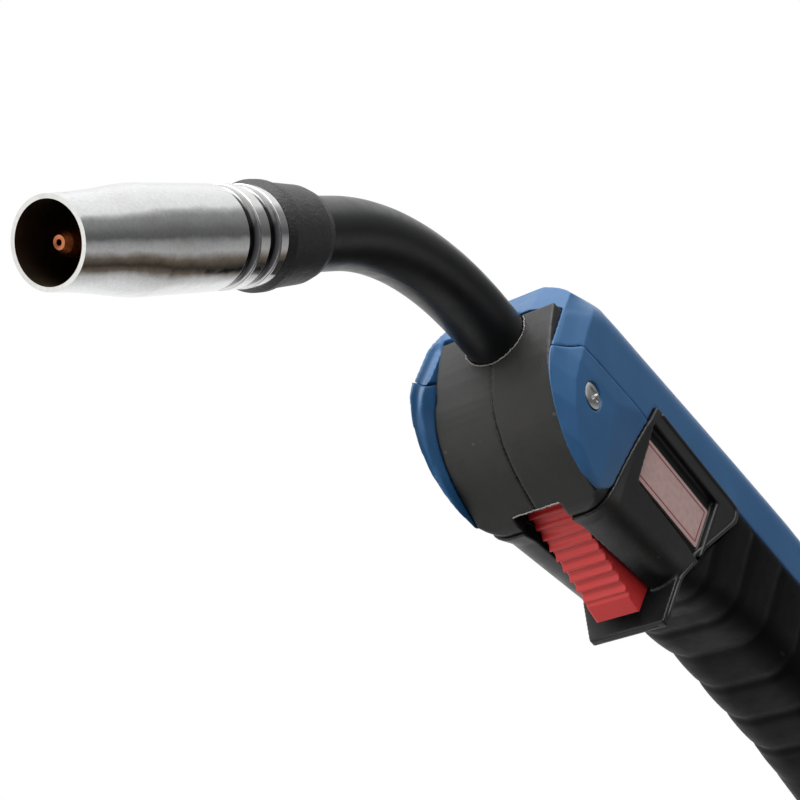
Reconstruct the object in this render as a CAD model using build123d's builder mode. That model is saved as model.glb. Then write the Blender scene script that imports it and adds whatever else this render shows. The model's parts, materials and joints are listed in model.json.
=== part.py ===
"""MIG welding torch: swan neck, gas nozzle, two-part handle, trigger and cable ball joint.

Frame, in millimetres: the origin is the centre of the cable inlet's mouth at the back of
the handle.  +X runs backwards along the handle, +Z is up (the blue spine), -Y is the left
side.  Sizes along the handle are given as stations: x behind the point where the neck
leaves the handle, z above the neck's axis there.  at_x and at_z place them in the frame.
"""
from build123d import *
import os
from math import cos, radians, sin, tan

# ---- driving dimensions -----------------------------------------------------------------
HANDLE_LENGTH = 215.0      # neck exit to the mouth of the cable inlet
INLET_RISE = 7.0           # cable axis above the neck's axis
SKIN = 3.0                 # wall of the blue covers and the rubber grip
SHELL_WALL = 2.4           # wall of the black body halves
FIT_GAP = 0.1              # between pieces that only lie against each other
RUN_GAP = 0.05             # radial gap of a running fit
SLOT_GAP = 0.4             # beside the trigger

NECK_R = 7.36              # black sleeve of the swan neck
NECK_STRAIGHT = 6.9        # from the handle to the start of the bend
BEND_R = 65.2
NECK_ANGLE = 47.3
NECK_END = 11.4            # from the bend to the collar
TUBE_R = 5.0               # copper tube inside the sleeve
TUBE_BORE_R = 3.5
LINER_R = 2.2
LINER_BORE_R = 1.0

COLLAR_R = NECK_R + 3.0    # insulating collar
COLLAR_LENGTH = 17.1
NOZZLE_LENGTH = 53.0
NOZZLE_R = 9.52
MOUTH_R = 7.70
MOUTH_BORE_R = 6.90
NOZZLE_BORE_R = 7.50
GROOVE_DEPTH = 1.45
TIP_R = 3.0
TIP_LENGTH = 25.0
TIP_RECESS = 2.6           # tip's end behind the nozzle's mouth
TIP_THREAD_R = 2.4
TIP_THREAD = 6.0
WIRE_R = 0.55

TRIGGER_WIDTH = 11.0
TRIGGER_TOP = -21.0
PIVOT = (26.0, -23.5)      # station of the trigger's pin
PIN_R = 1.2
RIB_PITCH = 3.0
RIB_COUNT = 10
RIB_DEPTH = 1.1

SWITCH_X = 38.0            # station of the switch's front
SWITCH_SIZE = (20.0, 6.4, 10.0)
SWITCH_FLOOR = -19.0       # station height of its lower face
PLUNGER_X = 44.0
PLUNGER_R = 1.1
PLUNGER_GAP = 0.3          # between the plunger and the trigger at rest
SPRING_X = 54.0
SPRING_R = 2.0
SPRING_WIRE_R = 0.3
SPRING_TURNS = 4

BALL_R = 12.2
BALL_BACK = 24.0           # ball's centre ahead of the inlet's mouth
CABLE_BORE_R = 7.0
SLEEVE_R = 8.4
FLARE_R = 10.8
LINER_SHELL_R = 14.3       # outside of the ball's socket
SOCKET_FRONT = 8.0         # socket ahead of and behind the ball's centre
SOCKET_REAR = 5.0
RING_LENGTH = 3.1
RING_BORE_R = 12.9

LABEL_SIZE = (28.0, 10.5, 0.6)
LABEL_CENTRE = (51.3, -9.2)
LABEL_DEPTH = 2.2          # recess floor below the saddle's surface
RECESS_BEYOND = 3.2        # recess beyond the label's upper and lower edges
SCREW_R = 1.5
SCREW_LENGTH = 24.0
SCREW_HEAD_R = 3.0
SCREW_HEAD_HEIGHT = 1.6
SCREWS = [(13.0, -13.0), (92.0, 16.0), (HANDLE_LENGTH - 51.0, 14.0)]
# Distance of each screw's seat from the middle plane: the first sits in the left cheek.
SCREW_SEATS = [16.3, 12.6, 12.6]

# Cross-sections: station x, half width, top, waist, foot half width, bottom, foot radius.
STATIONS = [
    (-5.0, 18.0, 12.6, -8.0, 16.5, -34.0, 5.0),
    (2.0, 18.1, 16.2, -8.0, 16.3, -34.0, 5.0),
    (14.0, 18.2, 21.0, -8.0, 15.9, -34.0, 5.0),
    (22.0, 18.2, 21.9, -8.0, 15.5, -34.0, 5.0),
    (32.0, 18.3, 22.5, -2.0, 13.5, -30.5, 7.0),
    (62.0, 18.3, 25.1, -2.0, 12.0, -26.5, 8.0),
    (80.0, 18.4, 26.4, 2.0, 12.5, -19.5, 9.0),
    (104.0, 18.5, 28.0, 5.0, 12.5, -14.6, 10.0),
    (HANDLE_LENGTH - 65.0, 18.6, 29.0, 5.0, 12.5, -14.6, 10.0),
    (HANDLE_LENGTH - 31.0, 18.7, 28.2, 3.0, 13.0, -18.0, 10.0),
    (HANDLE_LENGTH - 15.0, 18.7, 28.2, 3.0, 13.0, -18.0, 10.0),
]
TOP_RADIUS = 12.0
WAIST_RADIUS = 9.0
LEAST_RADIUS = 0.8


def at_x(station_x):
    return station_x - HANDLE_LENGTH


def at_z(station_z):
    return station_z - INLET_RISE


def side(points):
    """Side-view stations as points of Plane.XZ."""
    return [(at_x(x), at_z(z)) for x, z in points]


# ---- places worked out from the dimensions ----------------------------------------------
TURN = radians(NECK_ANGLE)
NOSE = Vector(-cos(TURN), 0, -sin(TURN))
BEND_START = Vector(at_x(-NECK_STRAIGHT), 0, at_z(0))
BEND_END = BEND_START + Vector(-BEND_R * sin(TURN), 0, -BEND_R * (1 - cos(TURN)))
COLLAR_BACK = BEND_END + NOSE * NECK_END
# Sketches of turned nose pieces: local x is the radius, local y runs along the nose.
NOSE_PLANE = Plane(origin=COLLAR_BACK, x_dir=(0, 1, 0), z_dir=(-sin(TURN), 0, cos(TURN)))
NOSE_AXIS = Axis(COLLAR_BACK, NOSE)
# The same for the pieces turned about the cable's axis: local y runs backwards.
CABLE_PLANE = Plane(origin=(0, 0, 0), x_dir=(0, 1, 0), z_dir=(0, 0, -1))
CABLE_AXIS = Axis((0, 0, 0), (1, 0, 0))

NOZZLE_BACK = COLLAR_LENGTH + FIT_GAP
MOUTH = NOZZLE_BACK + NOZZLE_LENGTH
TIP_END = MOUTH - TIP_RECESS
TIP_BACK = TIP_END - TIP_LENGTH
CORE_INSET = SKIN + FIT_GAP
CAVITY_INSET = CORE_INSET + SHELL_WALL
TRIGGER_HALF = TRIGGER_WIDTH / 2
SLOT_HALF = TRIGGER_HALF + SLOT_GAP
SLOT_FRONT = 22.2
SLOT_REAR = 61.0
BALL_X = HANDLE_LENGTH - BALL_BACK           # station of the ball's centre
BODY_END = BALL_X + SOCKET_REAR + FIT_GAP
SHELL_END = BALL_X - SOCKET_FRONT - 4.5      # rear of the halves, covers and grip
CAVITY_END = SHELL_END - 5.0
SPIGOT_R = BALL_R + 0.4                      # housing's spigot in the halves' rear wall
SADDLE_RISE = 0.6                            # saddle stands out past the skin


def handle_sections(inset):
    """The handle's cross-sections, drawn in by inset (or grown, if it is negative)."""
    faces = []
    for x, half, top, waist, foot, bottom, foot_radius in STATIONS:
        w = half - inset
        f = foot - inset
        with BuildSketch(Plane.YZ.offset(at_x(x))) as section:
            with BuildLine():
                Polyline(
                    (-f, at_z(bottom + inset)),
                    (f, at_z(bottom + inset)),
                    (w, at_z(waist)),
                    (w, at_z(top - inset)),
                    (-w, at_z(top - inset)),
                    (-w, at_z(waist)),
                    close=True,
                )
            make_face()
            level = at_z(waist)
            fillet(
                section.vertices().filter_by_position(Axis.Y, level - 0.1, level + 0.1),
                WAIST_RADIUS,
            )
            foot_r = max(foot_radius - inset, LEAST_RADIUS)
            fillet(section.vertices().group_by(Axis.Y)[0], foot_r)
            top_r = max(TOP_RADIUS - inset, LEAST_RADIUS)
            fillet(section.vertices().group_by(Axis.Y)[-1], top_r)
        faces.append(section.sketch)
    return faces


def outline(points):
    """A closed side-view outline as a face of Plane.XZ."""
    with BuildSketch(Plane.XZ) as face:
        with BuildLine():
            Polyline(*side(points), close=True)
        make_face()
    return face.sketch


def curved_outline(curve, corners):
    """A side-view outline: a smooth curve, closed by straight runs through the corners."""
    with BuildSketch(Plane.XZ) as face:
        with BuildLine():
            Spline(*side(curve))
            Polyline(*side([curve[-1]] + corners + [curve[0]]))
        make_face()
    return face.sketch


def skin_piece(points, grow=0.0, curve=None):
    """The part of the handle's outer skin inside a side-view outline."""
    with BuildPart() as piece:
        loft(sections=handle_sections(-grow), ruled=True)
        loft(sections=handle_sections(SKIN), ruled=True, mode=Mode.SUBTRACT)
        shape = curved_outline(curve, points) if curve else outline(points)
        extrude(shape, amount=60, both=True, mode=Mode.INTERSECT)
    return piece.part


def middle_slab(half_width, length=400.0, height=200.0):
    """Everything within half_width of the middle plane."""
    with BuildPart() as slab:
        Box(length * 2, half_width * 2, height)
    return slab.part


def across(points, radius, half_length, centre_y=0.0):
    """Round bars along Y at the given side-view stations."""
    with BuildPart() as bars:
        with BuildSketch(Plane.XZ.offset(-centre_y)):
            with Locations(*side(points)):
                Circle(radius)
        extrude(amount=half_length, both=True)
    return bars.part


def screw_seat(station, seat):
    """The room for a screw's head on the left side, from its seat outwards."""
    depth = 10.0
    return across([station], SCREW_HEAD_R + 0.3, depth / 2, -seat - depth / 2)


def neck_path(inner_station, past_bend):
    """The neck's centre line, from a station inside the handle to a point past the bend."""
    with BuildLine(Plane.XZ) as path:
        bend_in = (BEND_START.X, BEND_START.Z)
        Line((at_x(inner_station), at_z(0)), bend_in)
        bend = JernArc(start=bend_in, tangent=(-1, 0), radius=BEND_R, arc_size=NECK_ANGLE)
        Line(bend @ 1, bend @ 1 + NOSE * past_bend)
    return path.wire()


def neck_tube_part(outer_r, bore_r, inner_station, past_bend):
    path = neck_path(inner_station, past_bend)
    with BuildPart() as tube:
        with BuildSketch(Plane(origin=path @ 0, z_dir=path % 0)):
            Circle(outer_r)
            Circle(bore_r, mode=Mode.SUBTRACT)
        sweep(path=path)
    return tube.part


def save(part, name):
    part.label = name
    export_step(part, f"parts/{name}.step")
    print(f"{name:18s} solids {len(part.solids())}  volume {part.volume:9.1f}")


os.makedirs("parts", exist_ok=True)

# ---- nose: nozzle, tip, holder, spring, collar ------------------------------------------
RING_BACK = 2.5            # chrome ring next to the collar
GROOVE = 3.3               # length of each groove
RING_BETWEEN = 3.0
TAPER_LENGTH = 20.5

groove_1 = NOZZLE_BACK + RING_BACK
groove_2 = groove_1 + GROOVE + RING_BETWEEN
body_start = groove_2 + GROOVE
taper_start = MOUTH - TAPER_LENGTH
with BuildPart() as gas_nozzle:
    with BuildSketch(NOSE_PLANE):
        with BuildLine():
            Polyline(
                (MOUTH_R, MOUTH),
                (MOUTH_BORE_R, MOUTH),
                (MOUTH_BORE_R, MOUTH - 8),
                (NOZZLE_BORE_R, MOUTH - 16),
                (NOZZLE_BORE_R, NOZZLE_BACK),
                (NOZZLE_R, NOZZLE_BACK),
                (NOZZLE_R, groove_1),
            )
            for start in (groove_1, groove_2):
                ThreePointArc(
                    (NOZZLE_R, start),
                    (NOZZLE_R - GROOVE_DEPTH, start + GROOVE / 2),
                    (NOZZLE_R, start + GROOVE),
                )
            Line((NOZZLE_R, groove_1 + GROOVE), (NOZZLE_R, groove_2))
            Line((NOZZLE_R, body_start), (NOZZLE_R, taper_start))
            Spline(
                (NOZZLE_R, taper_start),
                (MOUTH_R + 0.75, MOUTH - TAPER_LENGTH / 2),
                (MOUTH_R, MOUTH),
                tangents=[(-0.05, 1), (-0.05, 1)],
            )
        make_face()
    revolve(axis=NOSE_AXIS)
    fillet(gas_nozzle.edges().filter_by(GeomType.CIRCLE).group_by(SortBy.RADIUS)[-1], 0.3)
save(gas_nozzle.part, "gas_nozzle")

with BuildPart() as contact_tip:
    with BuildSketch(NOSE_PLANE):
        with BuildLine():
            Polyline(
                (WIRE_R, TIP_BACK),
                (TIP_THREAD_R, TIP_BACK),
                (TIP_THREAD_R, TIP_BACK + TIP_THREAD),
                (TIP_R, TIP_BACK + TIP_THREAD),
                (TIP_R, TIP_END - 6.0),
                (TIP_R - 0.45, TIP_END - 3.2),
                (TIP_R - 1.1, TIP_END - 1.2),
                (TIP_R - 1.8, TIP_END),
                (WIRE_R, TIP_END),
                close=True,
            )
        make_face()
    revolve(axis=NOSE_AXIS)
save(contact_tip.part, "contact_tip")

HOLDER_BACK = 8.0          # holder's end inside the collar
HOLDER_SHOULDER = COLLAR_LENGTH + 1.5
HOLDER_SEAT_END = HOLDER_SHOULDER + 12.0
HOLDER_SEAT_R = 5.6
HOLDER_NECK_R = 4.9
holder_end = TIP_BACK + TIP_THREAD - FIT_GAP
with BuildPart() as tip_holder:
    with BuildSketch(NOSE_PLANE):
        with BuildLine():
            Polyline(
                (LINER_R + FIT_GAP, HOLDER_BACK),
                (TUBE_BORE_R - RUN_GAP, HOLDER_BACK),
                (TUBE_BORE_R - RUN_GAP, HOLDER_SHOULDER),
                (HOLDER_SEAT_R, HOLDER_SHOULDER),
                (HOLDER_SEAT_R, HOLDER_SEAT_END),
                (HOLDER_NECK_R, HOLDER_SEAT_END),
                (HOLDER_NECK_R, holder_end - 1),
                (HOLDER_NECK_R - 1, holder_end),
                (TIP_THREAD_R + RUN_GAP, holder_end),
                (TIP_THREAD_R + RUN_GAP, TIP_BACK - 0.4),
                (LINER_R + FIT_GAP, TIP_BACK - 0.4),
                close=True,
            )
        make_face()
    revolve(axis=NOSE_AXIS)
    gas_ports = Plane(origin=COLLAR_BACK + NOSE * (HOLDER_SEAT_END + 2.5), z_dir=(0, 1, 0))
    with BuildSketch(gas_ports):
        Circle(0.9)
    extrude(amount=HOLDER_SEAT_R + 1, both=True, mode=Mode.SUBTRACT)
save(tip_holder.part, "tip_holder")

NOZZLE_SPRING_WIRE_R = 0.8
NOZZLE_SPRING_TURNS = 5
spring_mean_r = NOZZLE_BORE_R - RUN_GAP - NOZZLE_SPRING_WIRE_R
spring_pitch = 2.1
spring_plane = Plane(
    origin=COLLAR_BACK + NOSE * (HOLDER_SHOULDER + 1), x_dir=(0, 1, 0), z_dir=NOSE
)
with BuildPart() as nozzle_spring:
    coil = spring_plane * Helix(
        pitch=spring_pitch, height=spring_pitch * NOZZLE_SPRING_TURNS, radius=spring_mean_r
    )
    with BuildSketch(Plane(origin=coil @ 0, z_dir=coil % 0)):
        Circle(NOZZLE_SPRING_WIRE_R)
    sweep(path=coil, is_frenet=True)
save(nozzle_spring.part, "nozzle_spring")

FLANGE = 3.6               # collar's bevelled front flange
with BuildPart() as neck_insulator:
    with BuildSketch(NOSE_PLANE):
        with BuildLine():
            Polyline(
                (TUBE_R + RUN_GAP, 0),
                (NECK_R + 0.7, 0),
                (NECK_R + 1.5, 0.9),
                (COLLAR_R - 0.9, 3.2),
                (COLLAR_R - 0.4, COLLAR_LENGTH - FLANGE),
                (COLLAR_R, COLLAR_LENGTH - FLANGE + 0.5),
                (COLLAR_R, COLLAR_LENGTH - 1.4),
                (COLLAR_R - 0.9, COLLAR_LENGTH),
                (TUBE_R + RUN_GAP, COLLAR_LENGTH),
                close=True,
            )
        make_face()
    revolve(axis=NOSE_AXIS)
save(neck_insulator.part, "neck_insulator")

# ---- swan neck --------------------------------------------------------------------------
JACKET_IN = 13.0           # sleeve's end inside the handle
TUBE_IN = 24.0
LINER_IN = 46.0
neck_jacket = neck_tube_part(NECK_R, TUBE_R + RUN_GAP, JACKET_IN, NECK_END - FIT_GAP)
save(neck_jacket, "neck_jacket")
neck_tube = neck_tube_part(TUBE_R, TUBE_BORE_R, TUBE_IN, NECK_END + COLLAR_LENGTH)
save(neck_tube, "neck_tube")
wire_liner = neck_tube_part(LINER_R, LINER_BORE_R, LINER_IN, NECK_END + TIP_BACK - 0.6)
save(wire_liner, "wire_liner")

NUT_LENGTH = 6.0
HEX_R = 7.9                # across the hexagon's corners, halved
COUPLING_LENGTH = 26.0
nut_start = JACKET_IN + 0.3
coupling_start = nut_start + NUT_LENGTH + 0.3
with BuildPart() as neck_nut:
    with BuildSketch(Plane.YZ.offset(at_x(nut_start))):
        with Locations((0, at_z(0))):
            RegularPolygon(radius=HEX_R, side_count=6)
            Circle(TUBE_R + RUN_GAP, mode=Mode.SUBTRACT)
    extrude(amount=NUT_LENGTH)
save(neck_nut.part, "neck_nut")

with BuildPart() as neck_coupling:
    with BuildSketch(Plane.YZ.offset(at_x(coupling_start))):
        with Locations((0, at_z(0))):
            RegularPolygon(radius=HEX_R, side_count=6)
    extrude(amount=COUPLING_LENGTH)
    with BuildSketch(Plane.YZ.offset(at_x(coupling_start))):
        with Locations((0, at_z(0))):
            Circle(TUBE_R + RUN_GAP)
    extrude(amount=TUBE_IN - coupling_start + FIT_GAP, mode=Mode.SUBTRACT)
    with BuildSketch(Plane.YZ.offset(at_x(coupling_start))):
        with Locations((0, at_z(0))):
            Circle(TUBE_BORE_R)
    extrude(amount=COUPLING_LENGTH, mode=Mode.SUBTRACT)
save(neck_coupling.part, "neck_coupling")

# ---- black body halves ------------------------------------------------------------------
FRONT_CURVE = [(-1.2, 4.0), (-0.8, -6.0), (0.6, -13.5), (3.8, -21.0), (9.0, -26.0),
               (16.0, -29.6), (24.0, -32.2)]
CORE_CORNERS = [(30.0, -45.0), (SHELL_END, -45.0), (SHELL_END, 40.0), (8.3, 40.0), (8.3, 8.9),
                (5.6, 5.3)]
LIP_END = 27.1             # rear of the front's lower lip, at the saddle
LIP_BOTTOM = -32.6
FIN_INNER = 15.2           # inner face of the cheeks that flank the front
CAVITY_OUTLINE = [(11.0, 40.0), (11.0, -10.0), (15.0, -20.0), (26.0, -27.0), (40.0, -45.0),
                  (CAVITY_END, -45.0), (CAVITY_END, 40.0)]
NECK_CLEARANCE = 0.4       # round the neck in the cover's front wall
BOSS_R = 3.6
EAR_R = 4.2
PEG_R = 2.4
SWITCH_PIN_R = 1.1
switch_top = SWITCH_FLOOR + SWITCH_SIZE[2]
SWITCH_PINS = [(SWITCH_X + 3, switch_top - 2.6), (SWITCH_X + SWITCH_SIZE[0] - 3, switch_top - 2.6)]
switch_half = SWITCH_SIZE[1] / 2

with BuildPart() as cavity:
    loft(sections=handle_sections(CAVITY_INSET), ruled=True)
    extrude(outline(CAVITY_OUTLINE), amount=60, both=True, mode=Mode.INTERSECT)
    add(across(SCREWS, BOSS_R, 30), mode=Mode.SUBTRACT)
    for y_sign in (-1, 1):
        ear_y = y_sign * (SLOT_HALF + 10)
        add(across([PIVOT], EAR_R, 10, ear_y), mode=Mode.SUBTRACT)
        peg_y = y_sign * (switch_half + FIT_GAP + 10)
        add(across(SWITCH_PINS, PEG_R, 10, peg_y), mode=Mode.SUBTRACT)

with BuildPart() as trigger_slot:
    with BuildSketch(Plane.XY.offset(at_z(-50))):
        with Locations((at_x((SLOT_FRONT + SLOT_REAR) / 2), 0)):
            Rectangle(SLOT_REAR - SLOT_FRONT, SLOT_HALF * 2)
    extrude(amount=50 + TRIGGER_TOP + 4)

with BuildPart() as front_block:
    loft(sections=handle_sections(0.2), ruled=True)
    block_corners = [(LIP_END, LIP_BOTTOM), (LIP_END, -8.0), (4.0, -8.0)]
    block_face = curved_outline(FRONT_CURVE[2:], block_corners)
    extrude(block_face, amount=60, both=True, mode=Mode.INTERSECT)
    add(middle_slab(FIN_INNER - FIT_GAP), mode=Mode.INTERSECT)

with BuildPart() as body:
    loft(sections=handle_sections(CORE_INSET), ruled=True)
    extrude(curved_outline(FRONT_CURVE, CORE_CORNERS), amount=60, both=True, mode=Mode.INTERSECT)
    add(front_block.part)
    add(cavity.part, mode=Mode.SUBTRACT)
    add(trigger_slot.part, mode=Mode.SUBTRACT)
    with BuildSketch(Plane.YZ.offset(at_x(-10))):
        with Locations((0, at_z(0))):
            Circle(NECK_R + FIT_GAP)
    extrude(amount=25, mode=Mode.SUBTRACT)
    add(across(SCREWS, SCREW_R + FIT_GAP, 30), mode=Mode.SUBTRACT)
    for station, seat in zip(SCREWS[1:], SCREW_SEATS[1:]):
        add(screw_seat(station, seat), mode=Mode.SUBTRACT)
    add(across([PIVOT], PIN_R + RUN_GAP, 12), mode=Mode.SUBTRACT)
    add(across(SWITCH_PINS, SWITCH_PIN_R + RUN_GAP, 9), mode=Mode.SUBTRACT)
    with BuildSketch(Plane.YZ.offset(at_x(CAVITY_END - 1))):
        Circle(SPIGOT_R + RUN_GAP)
    extrude(amount=10, mode=Mode.SUBTRACT)

with BuildPart() as body_left:
    add(body.part)
    split(bisect_by=Plane.XZ, keep=Keep.TOP)
save(body_left.part, "body_left")
with BuildPart() as body_right:
    add(body.part)
    split(bisect_by=Plane.XZ, keep=Keep.BOTTOM)
save(body_right.part, "body_right")

# ---- blue covers, rubber grip, black saddle round the trigger ---------------------------
HOOD_FRONT = [(2.8, 40.0), (2.8, 16.0), (0.6, 9.5), (-1.2, 3.0), (-2.4, -4.0), (-3.3, -8.9)]
# Front wall of the cover, which closes the hood above the neck.
HOOD_WALL = [(2.8, 40.0), (2.8, 16.0), (0.6, 9.5), (-0.6, 5.5), (5.5, 5.5), (8.2, 9.1), (8.2, 40.0)]
SEAM = [(4.8, -3.6), (24.0, -2.3), (34.5, -2.1)]
SADDLE_TOP = 4.0
SADDLE_REAR = [(75.9, -0.5), (67.6, -13.6), (63.2, -25.0)]
RUBBER_EDGE = [(112.0, 5.5), (SHELL_END, 9.0)]

with BuildPart() as top_cover:
    spine_low = [(36.8, SADDLE_TOP + FIT_GAP), (76.2, SADDLE_TOP + FIT_GAP)] + RUBBER_EDGE
    with BuildPart() as hood_wall:
        loft(sections=handle_sections(0), ruled=True)
        extrude(outline(HOOD_WALL), amount=60, both=True, mode=Mode.INTERSECT)
    add(skin_piece(HOOD_FRONT + SEAM + spine_low + [(SHELL_END, 40.0)]))
    add(hood_wall.part)
    with BuildSketch(Plane.YZ.offset(at_x(-10))):
        with Locations((0, at_z(0))):
            Circle(NECK_R + NECK_CLEARANCE)
    extrude(amount=25, mode=Mode.SUBTRACT)
save(top_cover.part, "top_cover")

CHEEK_FRONT = [(25.0, -32.4), (20.5, -33.2), (14.1, -31.6), (5.4, -27.0), (-0.9, -20.5),
               (-3.4, -14.0), (-3.4, -9.1)]
cheek_corners = [(x, z - FIT_GAP) for x, z in SEAM] + [(33.7, -4.4), (27.0, -28.6)]
for name, side_kept in (("cheek_left", Keep.TOP), ("cheek_right", Keep.BOTTOM)):
    with BuildPart() as cheek:
        add(skin_piece(cheek_corners, grow=0.2, curve=CHEEK_FRONT))
        add(middle_slab(FIN_INNER), mode=Mode.SUBTRACT)
        add(across([SCREWS[0]], SCREW_R + FIT_GAP, 15, -15), mode=Mode.SUBTRACT)
        add(screw_seat(SCREWS[0], SCREW_SEATS[0]), mode=Mode.SUBTRACT)
        split(bisect_by=Plane.XZ, keep=side_kept)
    save(cheek.part, name)


def label_plane(y_sign, lift=0.0):
    """Plane of a label recess's floor: it leans with the saddle's side."""
    section = [row for row in STATIONS if row[0] == 62.0][0]
    _, half, _, waist, foot, bottom, _ = section
    lean = (half - foot) / (waist - bottom)
    surface_y = half + SADDLE_RISE - (waist - LABEL_CENTRE[1]) * lean
    normal = Vector(0, y_sign, -lean).normalized()
    floor_y = y_sign * (surface_y - LABEL_DEPTH)
    origin = Vector(at_x(LABEL_CENTRE[0]), floor_y, at_z(LABEL_CENTRE[1]))
    return Plane(origin=origin + normal * lift, x_dir=(1, 0, 0), z_dir=normal)


FIN_BOTTOM = -37.0
FIN_REAR = 63.2
FIN_HALF = 9.5
saddle_outline = [(37.0, SADDLE_TOP), (76.0, SADDLE_TOP)] + SADDLE_REAR
saddle_outline += [(FIN_REAR, -45.0), (27.2, -45.0), (27.2, -28.5), (33.9, -4.4)]
with BuildPart() as trigger_saddle:
    add(skin_piece(saddle_outline, grow=SADDLE_RISE))
    with BuildSketch(Plane.YZ.offset(at_x(SLOT_REAR))):
        with BuildLine():
            Polyline(
                (-FIN_HALF, at_z(FIN_BOTTOM)),
                (FIN_HALF, at_z(FIN_BOTTOM)),
                (FIN_HALF + 3, at_z(-25)),
                (-FIN_HALF - 3, at_z(-25)),
                close=True,
            )
        make_face()
    extrude(amount=FIN_REAR - SLOT_REAR)
    add(trigger_slot.part, mode=Mode.SUBTRACT)
    for y_sign in (-1, 1):
        with BuildSketch(label_plane(y_sign)):
            Rectangle(LABEL_SIZE[0] + 1.8, LABEL_SIZE[1] + RECESS_BEYOND * 2)
        extrude(amount=8, mode=Mode.SUBTRACT)
save(trigger_saddle.part, "trigger_saddle")

for name, y_sign in (("label_left", -1), ("label_right", 1)):
    with BuildPart() as label:
        with BuildSketch(label_plane(y_sign)):
            RectangleRounded(LABEL_SIZE[0], LABEL_SIZE[1], 0.6)
        extrude(amount=LABEL_SIZE[2])
    save(label.part, name)

with BuildPart() as rubber_grip:
    grip_front = [(x + 0.4, z) for x, z in reversed(SADDLE_REAR)]
    grip_top = [(76.4, SADDLE_TOP - 0.2)] + [(x, z - 0.2) for x, z in RUBBER_EDGE]
    add(skin_piece([(FIN_REAR + 0.4, -45.0)] + grip_front + grip_top + [(SHELL_END, -45.0)]))
save(rubber_grip.part, "rubber_grip")

# ---- screws -----------------------------------------------------------------------------
with BuildPart() as handle_screws:
    for station, seat in zip(SCREWS, SCREW_SEATS):
        head_half = SCREW_HEAD_HEIGHT / 2
        add(across([station], SCREW_HEAD_R, head_half, -seat - head_half))
        add(across([station], SCREW_R, SCREW_LENGTH / 2, SCREW_LENGTH / 2 - seat))
save(handle_screws.part, "handle_screws")

# ---- trigger, its pin and spring, and the switch ----------------------------------------
FACE_FRONT = (22.8, -27.5)
FACE_REAR = (57.5, -35.5)
BUTTON = 4.4               # smooth block behind the ribs
rib_slope = (FACE_REAR[1] - FACE_FRONT[1]) / (FACE_REAR[0] - FACE_FRONT[0])
ribs = []
for i in range(RIB_COUNT):
    rib_x = FACE_FRONT[0] + 0.2 + i * RIB_PITCH
    crest_z = FACE_FRONT[1] + rib_slope * (rib_x - FACE_FRONT[0])
    ribs.append((rib_x, crest_z + RIB_DEPTH))
    ribs.append((rib_x + RIB_PITCH * 0.3, crest_z + rib_slope * RIB_PITCH * 0.3))
    ribs.append((rib_x + RIB_PITCH * 0.7, crest_z + rib_slope * RIB_PITCH * 0.7))
spring_seat_z = TRIGGER_TOP - 3.5
with BuildPart() as trigger:
    tail = [FACE_REAR, (60.3, -26.5), (60.3, spring_seat_z), (49.0, spring_seat_z),
            (47.0, TRIGGER_TOP), (22.8, TRIGGER_TOP)]
    button = [(FACE_REAR[0] - BUTTON, FACE_REAR[1] - rib_slope * BUTTON)]
    extrude(outline(ribs + button + tail), amount=TRIGGER_HALF, both=True)
    add(across([PIVOT], PIN_R + RUN_GAP, 10), mode=Mode.SUBTRACT)
save(trigger.part, "trigger")

trigger_pin = across([PIVOT], PIN_R, 11)
save(trigger_pin, "trigger_pin")

spring_height = SWITCH_FLOOR - spring_seat_z - 2 * SPRING_WIRE_R - 2 * FIT_GAP
with BuildPart() as trigger_spring:
    coil_foot = Vector(at_x(SPRING_X), 0, at_z(spring_seat_z + SPRING_WIRE_R + FIT_GAP))
    coil = Pos(coil_foot) * Helix(
        pitch=spring_height / SPRING_TURNS, height=spring_height, radius=SPRING_R
    )
    with BuildSketch(Plane(origin=coil @ 0, z_dir=coil % 0)):
        Circle(SPRING_WIRE_R)
    sweep(path=coil, is_frenet=True)
save(trigger_spring.part, "trigger_spring")

PLUNGER_LENGTH = 4.2
PLUNGER_TRAVEL = 2.4
plunger_bottom = TRIGGER_TOP + PLUNGER_GAP
with BuildPart() as switch_case:
    with BuildSketch(Plane.XY.offset(at_z(SWITCH_FLOOR))):
        with Locations((at_x(SWITCH_X + SWITCH_SIZE[0] / 2), 0)):
            Rectangle(SWITCH_SIZE[0], SWITCH_SIZE[1])
    extrude(amount=SWITCH_SIZE[2])
    with BuildSketch(Plane.XY.offset(at_z(SWITCH_FLOOR))):
        with Locations((at_x(PLUNGER_X), 0)):
            Circle(PLUNGER_R + RUN_GAP)
    plunger_room = plunger_bottom + PLUNGER_LENGTH + PLUNGER_TRAVEL - SWITCH_FLOOR
    extrude(amount=plunger_room, mode=Mode.SUBTRACT)
    add(across(SWITCH_PINS, SWITCH_PIN_R + RUN_GAP, 9), mode=Mode.SUBTRACT)
save(switch_case.part, "switch_case")

with BuildPart() as switch_plunger:
    with BuildSketch(Plane.XY.offset(at_z(plunger_bottom))):
        with Locations((at_x(PLUNGER_X), 0)):
            Circle(PLUNGER_R)
    extrude(amount=PLUNGER_LENGTH)
save(switch_plunger.part, "switch_plunger")

switch_pins = across(SWITCH_PINS, SWITCH_PIN_R, 8.5)
save(switch_pins, "switch_pins")

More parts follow.
